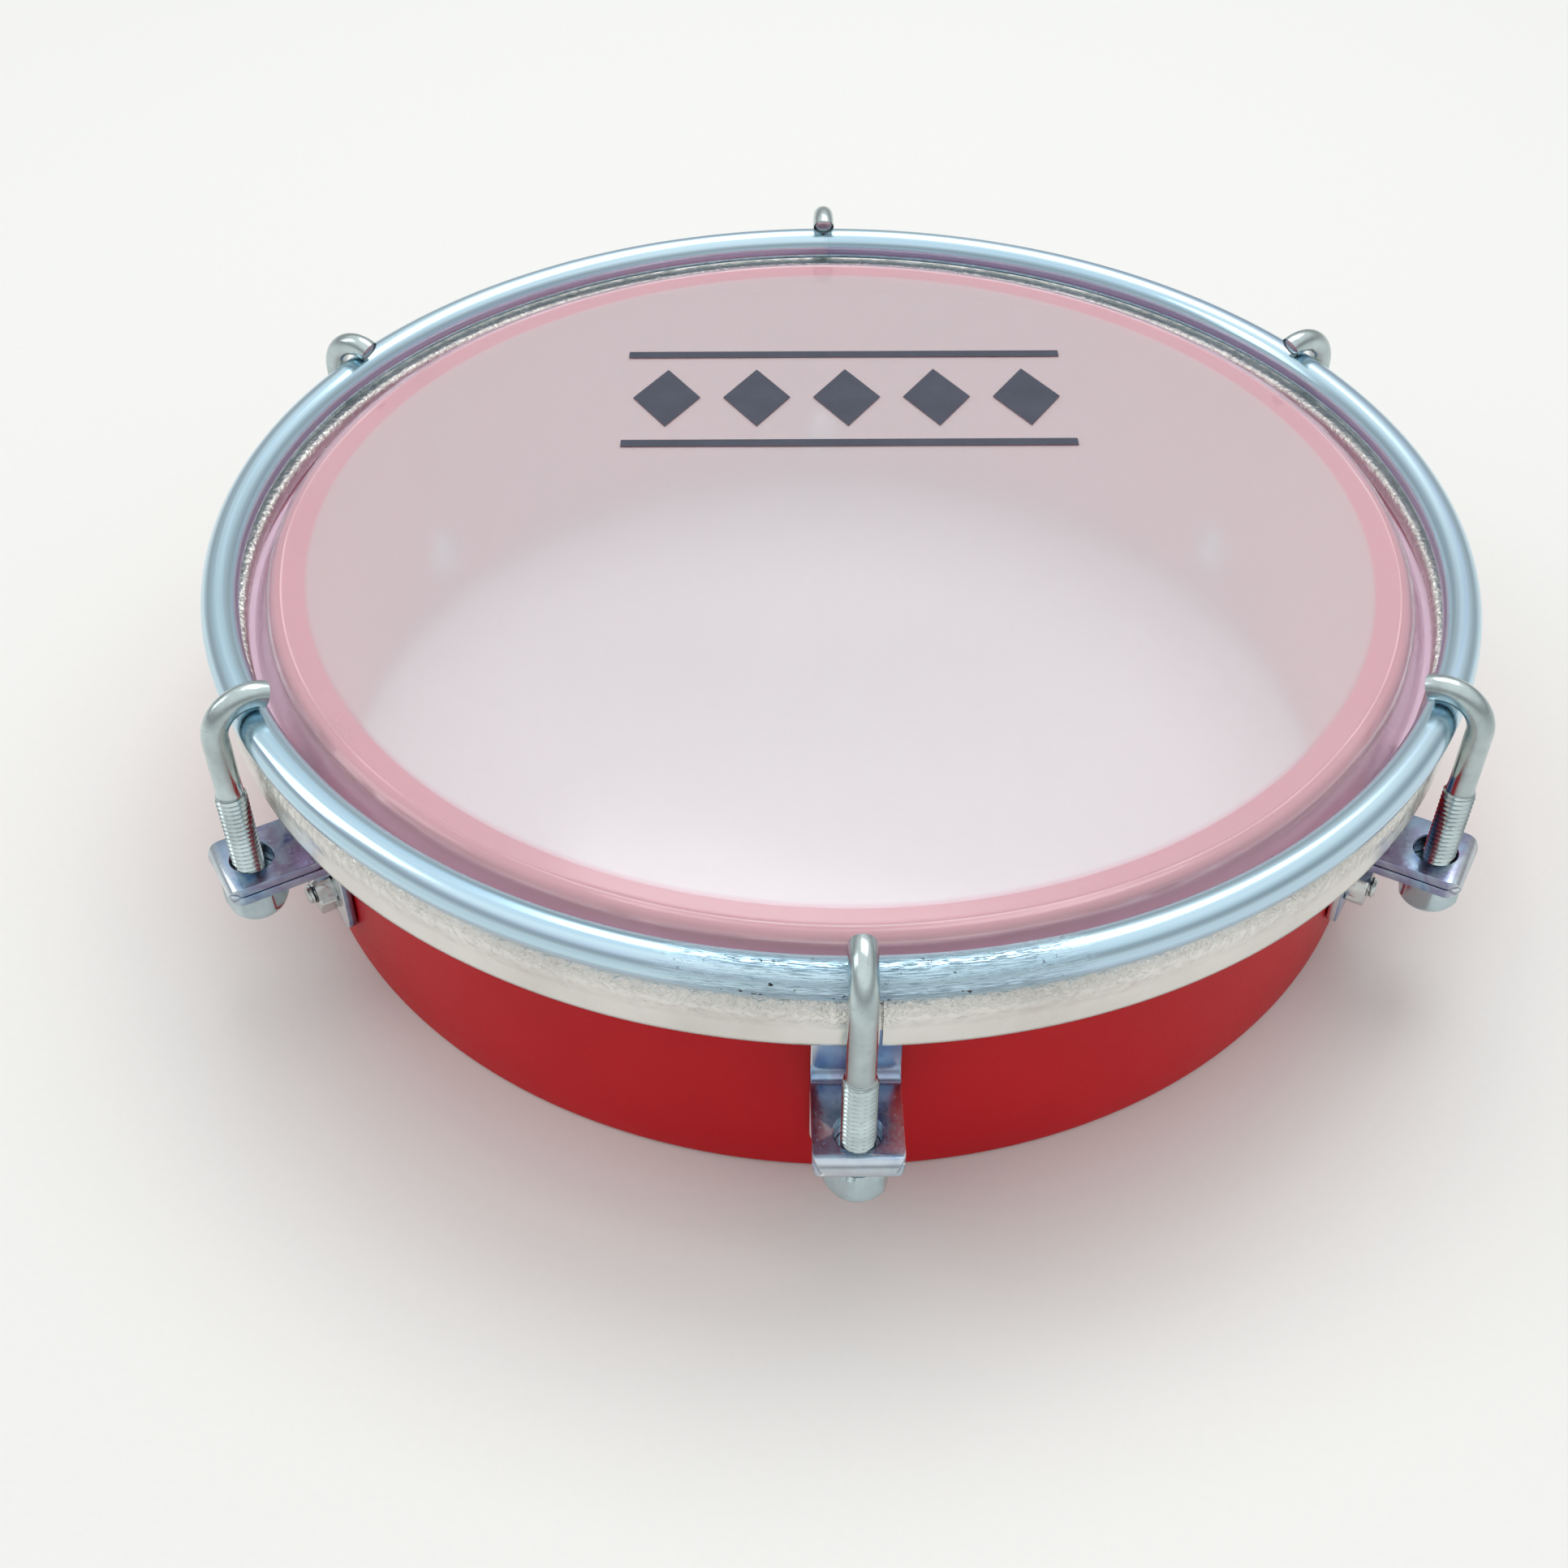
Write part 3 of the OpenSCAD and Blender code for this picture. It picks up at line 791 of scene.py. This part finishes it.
def bracket(i):
    """One strip of sheet steel: upper leg, ledge, fold, ledge again, and the leg that is screwed on."""
    path = bracket_path()
    round_r = 0.22 * MM
    rings = []
    for k, (x, z) in enumerate(path):
        before, after = path[max(0, k - 1)], path[min(len(path) - 1, k + 1)]
        tangent = Vector((after[0] - before[0], after[1] - before[1])).normalized()
        nx, nz = tangent.y, -tangent.x
        w, h = strip_width(x, z), strip_t / 2
        ring = []
        for sx, sy, a0 in ((1, 1, 0), (-1, 1, 90), (-1, -1, 180), (1, -1, 270)):
            for q in (0, 30, 60, 90):
                a = math.radians(a0 + q)
                y = sx * (w - round_r) + round_r * math.cos(a)
                d = sy * (h - round_r) + round_r * math.sin(a)
                ring.append(lug_matrix(i) @ Vector((x + nx * d, y, z + nz * d)))
        rings.append(ring)
    verts, faces = tube(rings)
    obj = new_object(f"bracket_strip_{i + 1}", verts, faces, "root", [f"bracket_{i + 1}"],
                     SHEET)
    hole = ledge_hole_d / 2
    low, high = ledge_z - 2 * strip_t - fold_gap, ledge_z
    lip = 0.15 * MM
    ledge_cut = [(hole + lip + MM, low - MM), (hole + lip, low), (hole, low + lip),
                 (hole, high - lip), (hole + lip, high), (hole + lip + MM, high + MM)]
    place = lug_matrix(i) @ Matrix.Translation((ledge_hole_r, 0, 0))
    leg_place = outward_at(i, leg_in - MM)
    leg_hole = screw_r + 0.15 * MM
    cut_away(obj, [round_cutter(ledge_cut, place, 64),
                   round_cutter([(leg_hole, 0), (leg_hole, strip_t + 2 * MM)], leg_place, 32)])
    finish_mesh(obj.data, 30)
    return obj


def thread_radius(along, turn, outer, depth, lead):
    """Radius of a rolled thread with rounded crests and roots, at a distance along it and a turn in 0..1."""
    phase = (along / lead - turn) % 1.0
    return outer - depth * abs(1 - 2 * phase) ** 0.8


def bracket_screw(i):
    """A slotted round-head screw, its head inside the shell and its thread standing out of its nut."""
    segments = 32
    cap_r = (screw_head_r ** 2 + screw_head_h ** 2) / (2 * screw_head_h)
    seat = screw_top + screw_head_h
    rows = []
    for k in range(1, 10):
        q = math.asin(screw_head_r / cap_r) * k / 9
        rows.append((screw_top + cap_r * (1 - math.cos(q)), cap_r * math.sin(q), False))
    rows += [(seat, screw_head_r - 0.1 * MM, False), (seat, screw_r, False)]
    thread_start = leg_in - MM
    rows += [(thread_start, screw_r, False)]
    count = round((screw_tip - 0.3 * MM - thread_start) / (screw_pitch / 6))
    rows += [(thread_start + screw_pitch / 6 * k, screw_r, True) for k in range(1, count + 1)]
    rows += [(screw_tip - 0.1 * MM, screw_r - 0.35 * MM, False), (screw_tip, screw_r - 0.5 * MM, False)]
    rings = []
    for x, r, threaded in rows:
        ring = []
        for k in range(segments):
            a = TAU * k / segments
            rr = thread_radius(x, k / segments, r, 0.26 * MM, screw_pitch) if threaded else r
            ring.append(lug_matrix(i) @ Vector((x, rr * math.cos(a), screw_z + rr * math.sin(a))))
        rings.append(ring)
    verts, faces = tube(rings)
    obj = new_object(f"bracket_screw_body_{i + 1}", verts, faces, "root", [f"bracket_screw_{i + 1}"],
                     SCREW)
    tilt = Matrix.Rotation(math.radians(25 + 47 * i), 4, "X")
    box = [Matrix.Diagonal((1.0, 8.0, 0.45, 1.0)) @ Vector((x, y, z)) * MM
           for x in (-1.0, 1.0) for y in (-1, 1) for z in (-1, 1)]
    place = lug_matrix(i) @ Matrix.Translation((screw_top, 0, screw_z)) @ tilt
    cut_away(obj, [cutter_from([place @ v for v in box], BOX_FACES)])
    finish_mesh(obj.data, 40)
    return obj


BOX_FACES = [(0, 1, 3, 2), (4, 6, 7, 5), (0, 4, 5, 1), (2, 3, 7, 6), (0, 2, 6, 4), (1, 5, 7, 3)]


def hexagon_radius(a, apothem, power=60):
    """Radius of a hexagon with slightly rounded corners, a flat facing angle 0."""
    total = sum(abs(math.cos(a - k * math.pi / 3)) ** power for k in range(3))
    return apothem / total ** (1 / power)


def hex_nut(name, place, apothem, bore, rows, turn, lead, body, replaces, mat):
    """A nut from rows of (height, limit): each ring is the hexagon, held within the row's limiting radius.
    Its bore is threaded."""
    segments = 96
    low, high = rows[0][0], rows[-1][0]
    rings = []
    for z, limit in rows:
        rings.append([(min(hexagon_radius(TAU * k / segments - turn, apothem), limit), TAU * k / segments, z)
                      for k in range(segments)])
    for step in range(int((high - low) / (lead / 6)) + 1):
        z = max(low, high - step * lead / 6)
        rings.append([(bore + 0.30 * lead * (0.5 + 0.5 * math.cos(TAU * ((z / lead - k / segments) % 1.0))),
                       TAU * k / segments, z) for k in range(segments)])
    rings.append([(bore + 0.3 * lead, TAU * k / segments, low) for k in range(segments)])
    verts = [place @ Vector((r * math.cos(a), r * math.sin(a), z)) for ring in rings for r, a, z in ring]
    faces = []
    for i in range(len(rings)):
        j = (i + 1) % len(rings)
        for k in range(segments):
            m = (k + 1) % segments
            faces.append((i * segments + k, i * segments + m, j * segments + m, j * segments + k))
    return new_object(name, verts, faces, body, replaces, mat, sharp=28)


def screw_nut(i):
    """A bracket screw's hexagonal nut."""
    height = abs(screw_nut_high.y - screw_nut_low.y)
    face = -screw_nut_high.y
    corner = screw_nut_af / 2 / math.cos(math.pi / 6)
    chamfer = 0.25 * MM
    rows = [(0, screw_nut_af / 2), (chamfer, corner), (height - chamfer, corner), (height, screw_nut_af / 2)]
    place = (lug_matrix(i) @ Matrix.Translation((face, 0, screw_z))
             @ Matrix.Rotation(TAU / 4, 4, "Y"))
    return hex_nut(f"screw_nut_body_{i + 1}", place, screw_nut_af / 2, screw_r + 0.03 * MM, rows,
                   math.radians(13 * i), screw_pitch, "root", [f"screw_nut_{i + 1}"], SCREW)


# ---------------------------------------------------------------- moving pieces

def tuning_nut(i):
    """A tension nut: a hexagon with a chamfered top and a domed lower end."""
    height = nut_top - nut_bottom
    dome_r = 4.3 * MM
    dome_z = 2.9 * MM
    corner = nut_af / 2 / math.cos(math.pi / 6)
    rows = []
    for z in [0.0, 0.08, 0.2, 0.35, 0.55, 0.8, 1.1, 1.4]:
        rows.append((z * MM, math.sqrt(dome_r ** 2 - (dome_z - z * MM) ** 2)))
    rows += [(height - 0.35 * MM, corner), (height, corner - 0.5 * MM)]
    place = lug_matrix(i) @ Matrix.Translation((rod_r, 0, nut_bottom))
    return hex_nut(f"tuning_nut_body_{i + 1}", place, nut_af / 2, thread_r + 0.05 * MM, rows,
                   math.radians(15), pitch, f"nut_{i + 1}", [f"tuning_nut_{i + 1}"], NUT)


def tension_hook(i):
    """A J-hook of drawn bar: rolled thread, plain shank, and a curl that ends inside the counter hoop."""
    segments = 32
    step = pitch / 12
    thread_top = thread_tops[i]
    rows = [(rod_end, thread_r - 0.55 * MM), (rod_end + 0.1 * MM, thread_r - 0.42 * MM)]
    count = int((thread_top - rod_end - 0.3 * MM) / step)
    rings = []
    centre = Vector((rod_r, 0, 0))

    def ring(origin, radial, side, radius):
        return [origin + radial * (radius(k / segments) * math.cos(TAU * k / segments))
                + side * (radius(k / segments) * math.sin(TAU * k / segments)) for k in range(segments)]

    x_axis, y_axis = Vector((1, 0, 0)), Vector((0, 1, 0))
    for z, r in rows:
        rings.append(ring(centre + Vector((0, 0, z)), x_axis, y_axis, lambda turn, r=r: r))
    for k in range(count + 1):
        z = rod_end + 0.2 * MM + step * k
        fade = min(1.0, (thread_top - z) / (1.2 * pitch))     # the thread runs out into the shank

        def radius(turn, z=z, f=max(0.0, fade)):
            return shank_r + (thread_radius(z, turn, thread_r, thread_depth, pitch) - shank_r) * f

        rings.append(ring(centre + Vector((0, 0, z)), x_axis, y_axis, radius))
    for k in range(1, 9):
        z = thread_top + 0.2 * MM + (curl_z - thread_top - 0.2 * MM) * k / 9
        rings.append(ring(centre + Vector((0, 0, z)), x_axis, y_axis, lambda turn: shank_r))
    curl_x = rod_r - curl_r
    curl_sweep = curl_sweeps[i]
    turns = 36
    for k in range(turns + 1):
        a = curl_sweep * k / turns
        radial = Vector((math.cos(a), 0, math.sin(a)))
        squeeze = 1 - 0.03 * math.sin(math.pi * k / turns)     # the bar flattens a little as it is bent
        rings.append(ring(Vector((curl_x, 0, curl_z)) + radial * curl_r, radial, y_axis,
                          lambda turn, s=squeeze: shank_r * s))
    radial = Vector((math.cos(curl_sweep), 0, math.sin(curl_sweep)))
    ahead = Vector((-math.sin(curl_sweep), 0, math.cos(curl_sweep)))
    end_round = 0.9 * MM
    for k in range(1, 6):
        a = math.pi / 2 * k / 5
        origin = Vector((curl_x, 0, curl_z)) + radial * curl_r + ahead * (end_round * math.sin(a) - end_round)
        rings.append(ring(origin, radial, y_axis,
                          lambda turn, a=a: shank_r - end_round * (1 - math.cos(a))))
    del rings[-7]
    verts, faces = tube([[lug_matrix(i) @ p for p in r] for r in rings])
    return new_object(f"tension_hook_rod_{i + 1}", verts, faces, f"hook_{i + 1}", [f"tension_hook_{i + 1}"],
                      HOOK, sharp=50)


shell()
drumhead_film()
flesh_hoop()
counter_hoop()
head_print()
for lug in range(LUGS):
    bracket(lug)
    bracket_screw(lug)
    screw_nut(lug)
    tuning_nut(lug)
    tension_hook(lug)
lock_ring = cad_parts["film_lock_ring"]
lock_ring.data.materials.clear()
lock_ring.data.materials.append(ALUMINIUM)


# ---------------------------------------------------------------- floor, light and camera

def floor():
    """A large pale floor with a faint satin shine."""
    mat, nt, bsdf = new_material("floor_white")
    fine = noise_of(nt, object_coords(nt), 900, 2)
    colour = ramp(nt, fine, [(0.3, (0.785, 0.795, 0.775)), (0.7, (0.795, 0.805, 0.785))])
    nt.links.new(colour, bsdf.inputs["Base Color"])
    bsdf.inputs["Roughness"].default_value = 0.45
    bpy.ops.mesh.primitive_plane_add(size=6)
    obj = bpy.context.object
    obj.name = "floor"
    obj.data.materials.append(mat)


def area_light(name, place, target, size, power, colour=(1, 1, 1)):
    """A soft rectangular lamp that looks at its target."""
    data = bpy.data.lights.new(name, "AREA")
    data.shape = "RECTANGLE"
    data.size, data.size_y = size
    data.energy = power
    data.color = colour
    obj = bpy.data.objects.new(name, data)
    obj.location = place
    obj.rotation_euler = (Vector(target) - Vector(place)).to_track_quat("-Z", "Y").to_euler()
    bpy.context.scene.collection.objects.link(obj)


def studio():
    """Soft lamps and a pale surround."""
    world = bpy.data.worlds.new("studio")
    bpy.context.scene.world = world
    world.use_nodes = True
    nt = world.node_tree
    coords = node(nt, "ShaderNodeTexCoord")
    height = node(nt, "ShaderNodeSeparateXYZ", {"Vector": coords.outputs["Generated"]}).outputs["Z"]
    room = ramp(nt, math_node(nt, "MULTIPLY_ADD", height, 0.5, 0.5),
                [(0.50, 0.70), (0.60, 0.42), (0.72, 0.55), (0.84, 1.00), (1.0, 1.10)])
    nt.links.new(room, nt.nodes["Background"].inputs["Color"])
    area_light("overhead", (0.10, 0.35, 0.80), (0, 0, 0), (0.60, 0.45), 2.3)
    area_light("side", (-0.75, 0.10, 0.55), (0, 0, 0.02), (0.30, 0.50), 0.7)


def camera():
    """The main view: from in front and well above, a little past the drum's near side."""
    elevation, azimuth, roll = math.radians(42.66), math.radians(-0.55), math.radians(0.04)
    target = Vector((-7.70 * MM, -40.38 * MM, 30 * MM))
    distance = 231.5 * MM
    back = Vector((math.sin(azimuth) * math.cos(elevation), -math.cos(azimuth) * math.cos(elevation),
                   math.sin(elevation)))
    data = bpy.data.cameras.new("camera")
    data.sensor_width = 36
    data.lens = 42.86
    data.clip_start = 0.01
    obj = bpy.data.objects.new("camera", data)
    obj.location = target + back * distance
    obj.rotation_euler = ((-back).to_track_quat("-Z", "Y").to_matrix()
                          @ Matrix.Rotation(roll, 3, "Z")).to_euler()
    bpy.context.scene.collection.objects.link(obj)
    bpy.context.scene.camera = obj


floor()
studio()
camera()
bpy.context.scene.view_settings.view_transform = "Standard"
